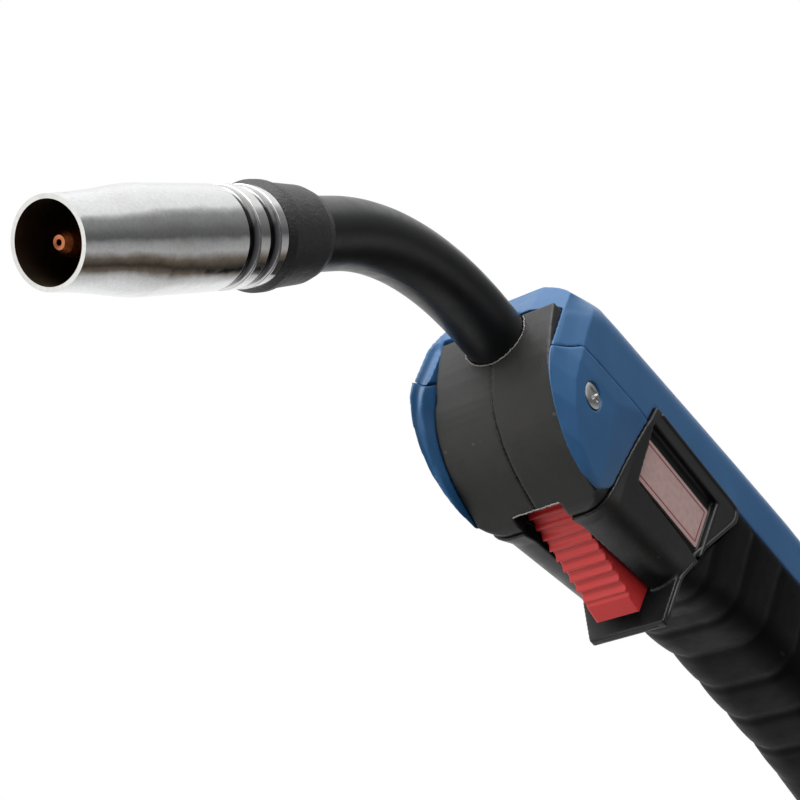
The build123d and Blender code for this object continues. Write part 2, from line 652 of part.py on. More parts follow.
LEAD_R = 0.8
LEAD_Y = 2.0
CONNECTOR_LENGTH = 10.0
CONNECTOR_R = 1.7
lead_end = 104.0
lead_z = 6.0
with BuildPart() as switch_leads:
    for y_sign in (-1, 1):
        start = Vector(at_x(SWITCH_X + SWITCH_SIZE[0] + FIT_GAP), y_sign * 1.2, at_z(-14))
        end = Vector(at_x(lead_end), y_sign * LEAD_Y, at_z(lead_z))
        with BuildLine() as lead:
            FilletPolyline(start, start + Vector(10, 0, 0), end - Vector(14, 0, 0), end, radius=8)
        with BuildSketch(Plane(origin=lead.line @ 0, z_dir=lead.line % 0)):
            Circle(LEAD_R)
        sweep(path=lead.line)
save(switch_leads.part, "switch_leads")

with BuildPart() as lead_connectors:
    with BuildSketch(Plane.YZ.offset(at_x(lead_end + FIT_GAP))):
        with Locations((-LEAD_Y, at_z(lead_z)), (LEAD_Y, at_z(lead_z))):
            Circle(CONNECTOR_R)
    extrude(amount=CONNECTOR_LENGTH)
save(lead_connectors.part, "lead_connectors")

# ---- ball joint of the cable inlet ------------------------------------------------------
BALL_GAP = 0.06
FLARE_START = 15.5
ball_y = -BALL_BACK        # along the cable's axis, from the inlet's mouth
ball_opening = (BALL_R**2 - CABLE_BORE_R**2) ** 0.5
sleeve_leaves = (BALL_R**2 - SLEEVE_R**2) ** 0.5
with BuildPart() as ball_knuckle:
    with BuildSketch(CABLE_PLANE):
        with BuildLine():
            ThreePointArc(
                (CABLE_BORE_R, ball_y - ball_opening),
                (BALL_R, ball_y),
                (SLEEVE_R, ball_y + sleeve_leaves),
            )
            Polyline(
                (SLEEVE_R, ball_y + sleeve_leaves),
                (SLEEVE_R, ball_y + FLARE_START - 1.5),
                (FLARE_R, ball_y + FLARE_START),
                (FLARE_R, -1.0),
                (FLARE_R - 1.0, 0),
                (CABLE_BORE_R, 0),
                (CABLE_BORE_R, ball_y - ball_opening),
            )
        make_face()
    revolve(axis=CABLE_AXIS)
save(ball_knuckle.part, "ball_knuckle")

socket_inner = BALL_R + BALL_GAP
front_r = (socket_inner**2 - (SOCKET_FRONT - 0.3) ** 2) ** 0.5
rear_r = (socket_inner**2 - SOCKET_REAR**2) ** 0.5
with BuildPart() as socket_liner:
    with BuildSketch(CABLE_PLANE):
        with BuildLine():
            ThreePointArc(
                (front_r, ball_y - SOCKET_FRONT + 0.3),
                (socket_inner, ball_y),
                (rear_r, ball_y + SOCKET_REAR),
            )
            Polyline(
                (rear_r, ball_y + SOCKET_REAR),
                (LINER_SHELL_R, ball_y + SOCKET_REAR),
                (LINER_SHELL_R, ball_y - SOCKET_FRONT + 0.3),
                (front_r, ball_y - SOCKET_FRONT + 0.3),
            )
        make_face()
    revolve(axis=CABLE_AXIS)
save(socket_liner.part, "socket_liner")

housing_start = SHELL_END + FIT_GAP
SPIGOT_LENGTH = 4.5
with BuildPart() as ball_housing:
    loft(sections=handle_sections(0), ruled=True)
    housing_box = [(housing_start, 45), (housing_start, -45), (BODY_END, -45), (BODY_END, 45)]
    extrude(outline(housing_box), amount=60, both=True, mode=Mode.INTERSECT)
    with BuildSketch(Plane.YZ.offset(at_x(housing_start - SPIGOT_LENGTH))):
        Circle(SPIGOT_R)
    extrude(amount=SPIGOT_LENGTH + 1)
    with BuildSketch(Plane.YZ.offset(at_x(housing_start - SPIGOT_LENGTH))):
        Circle(FLARE_R)
    extrude(amount=30, mode=Mode.SUBTRACT)
    with BuildSketch(Plane.YZ.offset(at_x(BALL_X - SOCKET_FRONT - FIT_GAP))):
        Circle(LINER_SHELL_R + RUN_GAP)
    extrude(amount=30, mode=Mode.SUBTRACT)
save(ball_housing.part, "ball_housing")

ring_start = BODY_END + FIT_GAP
with BuildPart() as rear_ring:
    loft(sections=handle_sections(0), ruled=True)
    ring_box = [(ring_start, 45), (ring_start, -45),
                (ring_start + RING_LENGTH, -45), (ring_start + RING_LENGTH, 45)]
    extrude(outline(ring_box), amount=60, both=True, mode=Mode.INTERSECT)
    with BuildSketch(Plane.YZ.offset(at_x(ring_start - 1))):
        Circle(RING_BORE_R)
    extrude(amount=RING_LENGTH + 2, mode=Mode.SUBTRACT)
save(rear_ring.part, "rear_ring")
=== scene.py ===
"""Looks of the MIG welding torch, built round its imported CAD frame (metres, row frame)."""
import json
import math

import bmesh
import bpy
import numpy as np
from mathutils import Matrix, Vector
from mathutils.bvhtree import BVHTree


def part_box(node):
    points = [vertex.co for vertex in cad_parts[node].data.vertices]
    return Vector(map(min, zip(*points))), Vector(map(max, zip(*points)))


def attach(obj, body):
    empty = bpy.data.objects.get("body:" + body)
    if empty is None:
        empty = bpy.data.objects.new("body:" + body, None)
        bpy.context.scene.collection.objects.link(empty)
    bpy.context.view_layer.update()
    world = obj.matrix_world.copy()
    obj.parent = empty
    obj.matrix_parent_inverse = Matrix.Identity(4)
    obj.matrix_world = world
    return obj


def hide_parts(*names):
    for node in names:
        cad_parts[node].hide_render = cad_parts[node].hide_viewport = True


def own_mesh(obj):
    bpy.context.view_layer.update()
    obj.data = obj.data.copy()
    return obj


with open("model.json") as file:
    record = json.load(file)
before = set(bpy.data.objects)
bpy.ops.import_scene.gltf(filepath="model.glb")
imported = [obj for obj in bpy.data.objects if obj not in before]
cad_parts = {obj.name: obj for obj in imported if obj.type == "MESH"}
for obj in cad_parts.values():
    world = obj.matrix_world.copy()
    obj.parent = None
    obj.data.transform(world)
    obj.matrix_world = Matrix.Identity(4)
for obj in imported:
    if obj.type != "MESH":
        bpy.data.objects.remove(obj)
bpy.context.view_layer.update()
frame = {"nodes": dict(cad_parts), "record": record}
nodes = frame["nodes"]

# The handle's own stations: x behind the neck's exit and z above the neck's axis, in mm.
NECK_EXIT = Vector((-0.215, 0.0, -0.007))


def st(x, y, z):
    """A point given by station x, side y and station height z, in mm."""
    return NECK_EXIT + Vector((x, y, z)) * 0.001


# The trigger's ribbed face and the finger guard's lower edge, in station mm.
FACE_FRONT = (22.8, -27.5)
FACE_REAR = (57.5, -35.5)
FACE_SLOPE = (FACE_REAR[1] - FACE_FRONT[1]) / (FACE_REAR[0] - FACE_FRONT[0])
RIB_START = FACE_FRONT[0] + 0.2
FACE_Z = FACE_FRONT[1] + FACE_SLOPE * 0.2
RIB_PITCH = 3.0
RIB_COUNT = 10
RIB_DEPTH = 1.1
GUARD_BOTTOM = -36.6

# The nozzle's axis, from its rear end at the collar towards its mouth, in metres.
NOSE = Vector((-math.cos(math.radians(47.3)), 0.0, -math.sin(math.radians(47.3))))
NOZZLE_BACK = NECK_EXIT + Vector((-0.062547, 0.0, -0.029362)) + NOSE * 0.0172
# Distances of its two bands of painted shade, at the turned grooves, from that end; each fades out
# between the two half widths.
GROOVE_SHADE_BANDS = (0.00405, 0.01035)
GROOVE_SHADE_HALF_WIDTHS = (0.0009, 0.0015)


# ---- small node-tree helpers ------------------------------------------------------------
class Tree:
    """A material with a Principled surface, and short calls that add nodes to it."""

    def __init__(self, name):
        self.mat = bpy.data.materials.new(name)
        self.mat.use_nodes = True
        self.nt = self.mat.node_tree
        self.nt.nodes.clear()
        self.out = self.nt.nodes.new("ShaderNodeOutputMaterial")
        self.bsdf = self.nt.nodes.new("ShaderNodeBsdfPrincipled")
        self.nt.links.new(self.bsdf.outputs[0], self.out.inputs["Surface"])
        places = self.nt.nodes.new("ShaderNodeTexCoord")
        self.coord = places.outputs["Object"]
        self.moulded_normal = places.outputs["Normal"]

    def node(self, kind, **values):
        n = self.nt.nodes.new(kind)
        for key, value in values.items():
            setattr(n, key, value)
        return n

    def link(self, a, b):
        self.nt.links.new(a, b)

    def noise(self, scale, detail=2.0, rough=0.5, stretch=None, source=None):
        """Noise over the piece; scale is in waves per metre."""
        n = self.node("ShaderNodeTexNoise")
        n.inputs["Scale"].default_value = scale
        n.inputs["Detail"].default_value = detail
        n.inputs["Roughness"].default_value = rough
        vec = source or self.coord
        if stretch:
            m = self.node("ShaderNodeMapping")
            m.inputs["Scale"].default_value = stretch
            self.link(vec, m.inputs["Vector"])
            vec = m.outputs[0]
        self.link(vec, n.inputs["Vector"])
        return n.outputs["Fac"]

    def spread(self, fac, low, high, to_low=0.0, to_high=1.0):
        m = self.node("ShaderNodeMapRange")
        m.inputs["From Min"].default_value = low
        m.inputs["From Max"].default_value = high
        m.inputs["To Min"].default_value = to_low
        m.inputs["To Max"].default_value = to_high
        self.link(fac, m.inputs["Value"])
        return m.outputs[0]

    def math(self, op, a, b):
        m = self.node("ShaderNodeMath", operation=op)
        for socket, value in zip(m.inputs, (a, b)):
            if isinstance(value, (int, float)):
                socket.default_value = value
            else:
                self.link(value, socket)
        return m.outputs[0]

    def dot(self, value, axis):
        m = self.node("ShaderNodeVectorMath", operation="DOT_PRODUCT")
        m.inputs[1].default_value = axis
        self.link(value, m.inputs[0])
        return m.outputs["Value"]

    def mix(self, fac, a, b):
        m = self.node("ShaderNodeMix", data_type="RGBA")
        for socket, value in ((m.inputs[0], fac), (m.inputs[6], a), (m.inputs[7], b)):
            if isinstance(value, (int, float)):
                socket.default_value = value
            elif isinstance(value, tuple):
                socket.default_value = (*value, 1.0)
            else:
                self.link(value, socket)
        return m.outputs[2]

    def bump(self, *layers):
        """layers: (height socket, depth in metres); later ones lie on earlier ones."""
        normal = None
        for height, depth in layers:
            b = self.node("ShaderNodeBump")
            b.inputs["Strength"].default_value = 1.0
            b.inputs["Distance"].default_value = depth
            self.link(height, b.inputs["Height"])
            if normal:
                self.link(normal, b.inputs["Normal"])
            normal = b.outputs[0]
        self.link(normal, self.bsdf.inputs["Normal"])

    def colour(self, value):
        self.link(value, self.bsdf.inputs["Base Color"])

    def rough(self, value):
        self.link(value, self.bsdf.inputs["Roughness"])

    def painted_edge_highlight(self, low=0.60, high=0.76):
        """1 on convex edges of a dense mesh, from Pointiness: the mask of a painted highlight along
        those edges.
        """
        g = self.node("ShaderNodeNewGeometry")
        return self.spread(g.outputs["Pointiness"], low, high)


def srgb(r, g, b):
    return tuple(
        c / 12.92 if c <= 0.04045 else ((c + 0.055) / 1.055) ** 2.4
        for c in (r / 255, g / 255, b / 255)
    )


def plastic(name, dark, light, rough, grain=0.00002, grain_scale=2600.0, edge=None, spec=0.5):
    """Moulded plastic: soft colour drift, eroded grain, handling marks, and a painted highlight
    that makes convex edges paler.
    """
    t = Tree(name)
    drift = t.noise(60.0, 3.0)
    base = t.mix(t.spread(drift, 0.3, 0.7), dark, light)
    # Convex edges are painted towards the paler edge colour: a painted highlight where light would
    # catch them.
    if edge:
        base = t.mix(t.math("MULTIPLY", t.painted_edge_highlight(), 0.55), base, edge)
    t.colour(base)
    smear = t.noise(240.0, 4.0, 0.6)
    t.rough(t.spread(smear, 0.3, 0.7, rough - 0.06, rough + 0.07))
    t.bump((t.noise(grain_scale, 2.0, 0.6), grain), (t.noise(320.0, 2.0), grain * 1.5))
    t.bsdf.inputs["Specular IOR Level"].default_value = spec
    return t.mat


def metal(name, dark, light, rough, scratches=0.00001, stretch=(1, 1, 1), scale=900.0):
    t = Tree(name)
    t.bsdf.inputs["Metallic"].default_value = 1.0
    t.colour(t.mix(t.spread(t.noise(120.0, 4.0), 0.3, 0.7), dark, light))
    t.rough(t.spread(t.noise(400.0, 4.0, 0.6), 0.3, 0.7, rough * 0.75, rough * 1.25))
    t.bump((t.noise(scale, 3.0, 0.6, stretch), scratches))
    return t.mat


def chrome_material():
    """Bright plating over drawn tube: grainy haze, faint dents, brownish heat film and painted
    shade in the grooves.
    """
    t = Tree("chrome")
    t.bsdf.inputs["Metallic"].default_value = 1.0
    haze = t.noise(1500.0, 6.0, 0.7)
    film = t.noise(55.0, 3.0)
    clean = t.mix(t.spread(haze, 0.3, 0.7), (0.66, 0.67, 0.68), (0.80, 0.80, 0.80))
    clean = t.mix(t.spread(film, 0.52, 0.75, 0.0, 0.35), clean, (0.52, 0.46, 0.41))
    # Painted shade lies in near-black bands at the two turned grooves, and a brown film lines the
    # bore.
    along_nose = t.math("SUBTRACT", t.dot(t.coord, NOSE), NOZZLE_BACK.dot(NOSE))
    groove_shade = None
    for band in GROOVE_SHADE_BANDS:
        away = t.math("ABSOLUTE", t.math("SUBTRACT", along_nose, band), 0.0)
        one = t.spread(away, *GROOVE_SHADE_HALF_WIDTHS, 1.0, 0.0)
        groove_shade = one if groove_shade is None else t.math("MAXIMUM", groove_shade, one)
    outward = t.node("ShaderNodeVectorMath", operation="SUBTRACT")
    t.link(t.coord, outward.inputs[0])
    outward.inputs[1].default_value = NOZZLE_BACK
    facing = t.node("ShaderNodeVectorMath", operation="DOT_PRODUCT")
    t.link(outward.outputs[0], facing.inputs[0])
    t.link(t.moulded_normal, facing.inputs[1])
    slant = t.math("MULTIPLY", along_nose, t.dot(t.moulded_normal, NOSE))
    radial = t.math("SUBTRACT", facing.outputs["Value"], slant)
    bore = t.spread(radial, -0.0045, -0.0015, 1.0, 0.0)
    # The grooves' bands are painted near black over the plating: painted shade.
    outside = t.mix(t.math("MULTIPLY", groove_shade, 0.98), clean, (0.010, 0.010, 0.010))
    inside = t.mix(t.spread(film, 0.35, 0.65), (0.34, 0.26, 0.18), (0.20, 0.15, 0.105))
    t.colour(t.mix(bore, outside, inside))
    t.rough(t.math("ADD", t.spread(haze, 0.25, 0.75, 0.07, 0.17), t.math("MULTIPLY", bore, 0.32)))
    dents = t.noise(130.0, 2.0)
    t.bump((dents, 0.00022), (t.noise(2600.0, 3.0, 0.6), 0.000004))
    return t.mat


def copper_material():
    t = Tree("copper")
    t.bsdf.inputs["Metallic"].default_value = 1.0
    stain = t.noise(500.0, 4.0, 0.6)
    t.colour(t.mix(t.spread(stain, 0.35, 0.7), srgb(205, 130, 92), srgb(128, 74, 50)))
    t.rough(t.spread(stain, 0.3, 0.7, 0.22, 0.42))
    t.bump((t.noise(1800.0, 2.0, 0.5), 0.00001))
    return t.mat


def label_material():
    """A printed plate: pale face, thin border line, no lettering."""
    border_inset = 0.0011
    half_line = 0.00016
    t = Tree("label")
    low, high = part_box("label_left")
    split = t.node("ShaderNodeSeparateXYZ")
    t.link(t.coord, split.inputs[0])

    def within_border(axis, centre, half):
        away = t.math("ABSOLUTE", t.math("SUBTRACT", split.outputs[axis], centre), 0.0)
        return t.math("SUBTRACT", half - border_inset, away)

    middle = (low + high) / 2
    half = (high - low) / 2
    inner = t.math(
        "MINIMUM",
        within_border(0, middle.x, half.x),
        within_border(2, middle.z, half.z),
    )
    line = t.math("LESS_THAN", t.math("ABSOLUTE", inner, 0.0), half_line)
    paper = t.mix(t.spread(t.noise(700.0, 4.0), 0.3, 0.7), srgb(200, 166, 162), srgb(214, 182, 176))
    t.colour(t.mix(line, paper, srgb(138, 44, 50)))
    t.rough(t.spread(t.noise(400.0, 3.0), 0.3, 0.7, 0.32, 0.48))
    t.bump((t.noise(1500.0, 2.0), 0.000006))
    return t.mat


# The last colour given to a plastic is the paler colour of its painted edge highlight.
M = {
    "chrome": chrome_material(),
    "copper": copper_material(),
    "brass": metal("brass", (0.66, 0.46, 0.20), (0.78, 0.58, 0.28), 0.3),
    "spring_steel": metal("spring_steel", (0.42, 0.42, 0.43), (0.58, 0.58, 0.58), 0.3),
    "zinc": metal("zinc", (0.60, 0.61, 0.60), (0.82, 0.83, 0.82), 0.24, 0.00002),
    "phenolic": plastic("phenolic", srgb(36, 37, 36), srgb(50, 51, 49), 0.50, 0.00012, 1900.0),
    "neck_black": plastic("neck_black", srgb(20, 21, 22), srgb(26, 27, 28), 0.34, 0.000008, 1800.0),
    "body_black": plastic("body_black", srgb(29, 29, 29), srgb(37, 37, 36), 0.46, 0.00003, 2400.0,
                          srgb(84, 84, 82)),
    "saddle_black": plastic("saddle_black", srgb(21, 22, 23), srgb(28, 29, 30), 0.40, 0.00002,
                            2000.0, srgb(84, 84, 84)),
    "grip_rubber": plastic("grip_rubber", srgb(9, 9, 10), srgb(14, 14, 15), 0.50, 0.00003,
                           1700.0, srgb(48, 48, 49), 0.12),
    "cover_blue": plastic("cover_blue", srgb(42, 91, 137), srgb(50, 99, 146), 0.36, 0.000012,
                          1500.0, srgb(88, 144, 196)),
    "trigger_red": plastic("trigger_red", srgb(206, 44, 46), srgb(220, 54, 54), 0.34, 0.00001,
                           1400.0, srgb(236, 120, 112)),
    "label": label_material(),
    "switch_black": plastic("switch_black", srgb(26, 26, 28), srgb(36, 36, 38), 0.4),
    "plunger": plastic("plunger", srgb(150, 40, 36), srgb(170, 52, 46), 0.4),
    "lead_sheath": plastic("lead_sheath", srgb(30, 30, 31), srgb(40, 40, 41), 0.45),
    "saddle_rim": plastic("saddle_rim", srgb(24, 25, 26), srgb(44, 45, 45), 0.36, 0.00002,
                          2000.0),
    "flash_grey": plastic("flash_grey", srgb(120, 118, 112), srgb(176, 174, 168), 0.6, 0.00004),
}
# Materials that share the slot of the part they lie on.
slot_of = {entry["node"]: entry["material_slot"] for entry in frame["record"]["subparts"]}
for name, obj in nodes.items():
    obj.data.materials.clear()
    obj.data.materials.append(M[slot_of.get(name, "body_black")])


# ---- meshes -----------------------------------------------------------------------------
def shade(obj, angle=35.0):
    obj.data.polygons.foreach_set("use_smooth", [True] * len(obj.data.polygons))
    if angle < 180:
        obj.data.set_sharp_from_angle(angle=math.radians(angle))


def link(name, mesh):
    obj = bpy.data.objects.new(name, mesh)
    bpy.context.scene.collection.objects.link(obj)
    return obj


def bake(obj):
    """The modifiers' result becomes the object's own mesh."""
    graph = bpy.context.evaluated_depsgraph_get()
    mesh = bpy.data.meshes.new_from_object(obj.evaluated_get(graph))
    obj.modifiers.clear()
    obj.data = mesh
    return obj


def put(obj, material, body="handle", replaces=()):
    """Gives a piece its material, body and slot, and the CAD nodes that it stands in for."""
    obj.data.materials.clear()
    obj.data.materials.append(M[material])
    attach(obj, body)
    if replaces:
        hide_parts(*replaces)
    return obj


def points_of(obj):
    co = np.zeros(len(obj.data.vertices) * 3)
    obj.data.vertices.foreach_get("co", co)
    return co.reshape(-1, 3)


def set_points(obj, co):
    obj.data.vertices.foreach_set("co", np.asarray(co).reshape(-1))
    obj.data.update()


def normals_of(obj):
    n = np.zeros(len(obj.data.vertices) * 3)
    obj.data.vertex_normals.foreach_get("vector", n)
    return n.reshape(-1, 3)


def soften(obj, passes, factor=0.5):
    m = obj.modifiers.new("soften", "SMOOTH")
    m.factor = factor
    m.iterations = passes
    return bake(obj)


def copy_of(name, node, ahead_of=None, behind=None):
    """A copy of a CAD node's mesh, or its part ahead of or behind a station."""
    mesh = nodes[node].data.copy()
    bm = bmesh.new()
    bm.from_mesh(mesh)
    bmesh.ops.remove_doubles(bm, verts=bm.verts, dist=2e-6)
    cut = ahead_of if ahead_of is not None else behind
    if cut is not None:
        made = bmesh.ops.bisect_plane(
            bm, geom=bm.verts[:] + bm.edges[:] + bm.faces[:], plane_co=st(cut, 0, 0),
            plane_no=(1, 0, 0), clear_outer=ahead_of is not None, clear_inner=behind is not None,
        )
        rim = [g for g in made["geom_cut"] if isinstance(g, bmesh.types.BMEdge)]
        bmesh.ops.triangle_fill(bm, edges=rim, use_beauty=True)
    bm.to_mesh(mesh)
    bm.free()
    return link(name, mesh)


def dense(name, node, voxel, passes=3, **part):
    """A fine even mesh of a CAD node's shape, with its edges rounded as a mould does."""
    obj = copy_of(name, node, **part)
    m = obj.modifiers.new("even", "REMESH")
    m.mode = "VOXEL"
    m.voxel_size = voxel
    m.adaptivity = 0.0
    bake(obj)
    return soften(obj, passes)


def stations(co):
    """Station x, side y, station z in mm of points in the row frame."""
    return (co - np.array(NECK_EXIT)) * 1000.0


def from_stations(s):
    return s / 1000.0 + np.array(NECK_EXIT)


def ramp(x, a, b):
    """Rises smoothly from 0 at a to 1 at b."""
    t = np.clip((x - a) / (b - a), 0, 1)
    return t * t * (3 - 2 * t)


VOXEL = 0.00042


def skew_front(s):
    """Sets the covers' front edge back on the left side and a little forward on the right."""
    near = 1 - ramp(s[:, 0], -3.5, 15.0)
    shift = np.interp(s[:, 1], [-17.0, -8.0, 8.0, 17.0], [3.4, 0.0, 0.0, -1.2])
    low = ramp(s[:, 2], -34.0, -26.0)
    s[:, 0] += shift * near * np.where(s[:, 1] < 0, low, 1)
    return s


def bevel_front(s):
    """Bevels the covers' outer corner along the front edge, fully on the left side only."""
    edge_x, edge_z = zip(*COVER_EDGE)
    behind = s[:, 0] - np.interp(s[:, 2], edge_z, edge_x)
    slope = np.clip(1 - behind / BEVEL_WIDTH, 0, 1)
    outer = np.clip((np.abs(s[:, 1]) - 15.3) / 2.6, 0, 1)
    share = np.where(s[:, 1] < 0, 1.0, 0.2)
    s[:, 1] -= np.sign(s[:, 1]) * BEVEL_DEPTH * slope * outer * share
    # The right fin's inner corner is bevelled instead, and shows round the black front.
    inner = np.clip((s[:, 1] - 14.8) / 0.3, 0, 1) * (1 - ramp(s[:, 1], 15.6, 17.6))
    middle_height = ramp(-s[:, 2], -8.0, -3.0) * ramp(s[:, 2], -32.0, -26.0)
    opened = np.clip(1 - behind / 5.0, 0, 1) * middle_height
    s[:, 0] += 2.0 * opened * inner
    s[:, 1] += opened * (1.1 * inner + 0.7 * (s[:, 1] > 0) * outer)
    return s


def shape_cover(obj):
    set_points(obj, from_stations(skew_front(bevel_front(stations(points_of(obj))))))
    shade(obj, 180)


# The bevel along the covers' front edge, and that edge in side view: station x, z.
BEVEL_WIDTH = 7.8
BEVEL_DEPTH = 2.3
COVER_EDGE = [(25.0, -32.4), (20.5, -33.2), (14.1, -31.6), (5.4, -27.0), (-0.9, -20.5),
              (-3.4, -14.0), (-3.4, -9.0), (-2.4, -4.0), (-1.2, 3.0), (0.6, 9.5), (2.8, 16.0)]
COVER_EDGE.sort(key=lambda p: p[1])

# ---- shells of the handle ---------------------------------------------------------------
cover = dense("top_cover_shell", "top_cover", VOXEL, 4)
shape_cover(cover)
put(cover, "cover_blue", replaces=["top_cover"])

for side_name in ("left", "right"):
    cheek = dense(f"cheek_{side_name}_shell", f"cheek_{side_name}", VOXEL * 0.8, 3)
    shape_cover(cheek)
    put(cheek, "cover_blue", replaces=[f"cheek_{side_name}"])

saddle = dense("trigger_saddle_shell", "trigger_saddle", VOXEL * 0.8, 3)
shade(saddle, 180)
put(saddle, "saddle_black", replaces=["trigger_saddle"])

grip = dense("rubber_grip_skin", "rubber_grip", VOXEL, 4)
s = stations(points_of(grip))
n = normals_of(grip)
FOLD_START = 71.0
FOLD_PITCH = 14.8
turn = (s[:, 0] - FOLD_START + 0.10 * s[:, 2]) / FOLD_PITCH * 2 * np.pi
groove = (0.5 + 0.5 * np.cos(turn)) ** 9
swell = 0.5 - 0.5 * np.cos(turn)
reach = ramp(s[:, 0], 63, 70) * (1 - ramp(s[:, 0], 152, 164)) * (1 - ramp(s[:, 2], 1.5, 6.0))
depth = (0.2 * swell - 0.6 * groove) * reach
s += n * depth[:, None]
set_points(grip, from_stations(s))
shade(grip, 180)
put(grip, "grip_rubber", replaces=["rubber_grip"])

# The trigger's ribs become scallops: their moulded height is swapped for a rounder one.
trigger = dense("trigger_button", "trigger", 0.00022, 2)
s = stations(points_of(trigger))
along_face = s[:, 0] - RIB_START
crest = FACE_Z + FACE_SLOPE * along_face
off_crest = 2 * np.abs((along_face / RIB_PITCH) % 1.0 - 0.5)
moulded = np.clip((off_crest - 0.4) / 0.6, 0, 1)
scallop = 1 - np.exp(-(off_crest / 0.42) ** 2)
on_ribs = (along_face > 0) * (along_face < RIB_PITCH * RIB_COUNT)
near_face = (1 - ramp(s[:, 2] - crest, 1.2, 3.4)) * on_ribs
s[:, 2] += RIB_DEPTH * (scallop - moulded) * near_face
set_points(trigger, from_stations(s))
shade(trigger, 180)
trigger.visible_glossy = False
put(trigger, "trigger_red", body="trigger", replaces=["trigger"])

# ---- black front ------------------------------------------------------------------------
FRONT_LENGTH = 31.0
for side_name in ("left", "right"):
    front = dense(f"body_{side_name}_front", f"body_{side_name}", VOXEL * 0.8, 2,
                  ahead_of=FRONT_LENGTH)
    shade(front, 180)
    put(front, "body_black", replaces=[f"body_{side_name}"])
    rear = copy_of(f"body_{side_name}_rear", f"body_{side_name}", behind=FRONT_LENGTH)
    shade(rear, 30)
    put(rear, "body_black")


def tube(name, line, radius, sides=10):
    """A round wire along a list of points."""
    bm = bmesh.new()
    rings = []
    side = (line[1] - line[0]).orthogonal().normalized()
    for i, p in enumerate(line):
        ahead = (line[min(i + 1, len(line) - 1)] - line[max(i - 1, 0)]).normalized()
        side = (side - ahead * side.dot(ahead)).normalized()
        up = side.cross(ahead)
        rings.append([
            bm.verts.new(p + radius * (side * math.cos(a) + up * math.sin(a)))
            for a in (2 * math.pi * k / sides for k in range(sides))
        ])
    for a, b in zip(rings, rings[1:]):
        for k in range(sides):
            bm.faces.new((a[k], a[(k + 1) % sides], b[(k + 1) % sides], b[k]))
    bm.faces.new(rings[0][::-1])
    bm.faces.new(rings[-1])
    mesh = bpy.data.meshes.new(name)
    bm.to_mesh(mesh)
    bm.free()
    return link(name, mesh)


def outside_of(node):
    """A function that gives the node's outermost half width at a station, in mm."""
    mesh = nodes[node].data
    skin = BVHTree.FromPolygons([v.co for v in mesh.vertices], [p.vertices for p in mesh.polygons])

    def half_width(x, z):
        hit = skin.ray_cast(st(x, -60, z), Vector((0, 1, 0)))[0]
        return None if hit is None else -hit.y * 1000
    return half_width


# The saddle's raised rim: along its top, down its rear edge and round the finger guard.
GUARD_REAR = 62.3
RIM_COURSE = [(39.0, 3.2), (75.0, 3.2), (74.8, -0.8), (66.6, -13.8), (GUARD_REAR, -25.0),
              (GUARD_REAR, GUARD_BOTTOM)]
RIM_RADIUS = 0.62
half_width = outside_of("trigger_saddle")
flank = []
for (x0, z0), (x1, z1) in zip(RIM_COURSE, RIM_COURSE[1:]):
    steps = max(2, round(math.dist((x0, z0), (x1, z1)) / 0.6))
    for i in range(steps):
        x, z = x0 + (x1 - x0) * i / steps, z0 + (z1 - z0) * i / steps
        wide = half_width(x, z)
        if wide is not None:
            flank.append((x, wide - 0.25, z))
across = [(GUARD_REAR, y, GUARD_BOTTOM) for y in np.linspace(flank[-1][1], -flank[-1][1], 34)[1:-1]]
course = np.array([(x, -y, z) for x, y, z in flank]
                  + [(x, -y, z) for x, y, z in across] + [(x, y, z) for x, y, z in flank[::-1]])
for _ in range(14):
    course[1:-1] += 0.5 * ((course[:-2] + course[2:]) / 2 - course[1:-1])
rim = tube("saddle_rim", [st(*p) for p in course], RIM_RADIUS * 0.001, 14)
shade(rim, 180)
put(rim, "saddle_rim")

# Rough moulding flash round the neck's entry and along the trigger slot's front edge.
rng = np.random.default_rng(7)
FLASH_FRONT = [(4.0, -1.2), (-6.0, -0.8), (-13.5, 0.6)]
ring = []
for i in range(150):
    a = math.radians(155 + 230 * i / 149)
    r = 7.75 + rng.normal(0, 0.10)
    y, z = r * math.cos(a), r * math.sin(a)
    x = np.interp(-z, [-p[0] for p in FLASH_FRONT], [p[1] for p in FLASH_FRONT])
    ring.append(st(x - 0.02 + rng.normal(0, 0.05), y, z))
flash = tube("neck_flash", ring, 0.00016, 6)
shade(flash, 60)
put(flash, "flash_grey")
edge = [st(22.15 + rng.normal(0, 0.07), y, -31.75 + rng.normal(0, 0.07))
        for y in np.linspace(-5.9, 5.9, 60)]
flash = tube("slot_flash", edge, 0.00017, 6)
shade(flash, 60)
put(flash, "flash_grey")


HEAD_R = 3.15
THREAD_R = 1.47
THREAD_ROOT_R = 1.25
THREAD_PITCH = 0.5
THREAD_LENGTH = 22.5


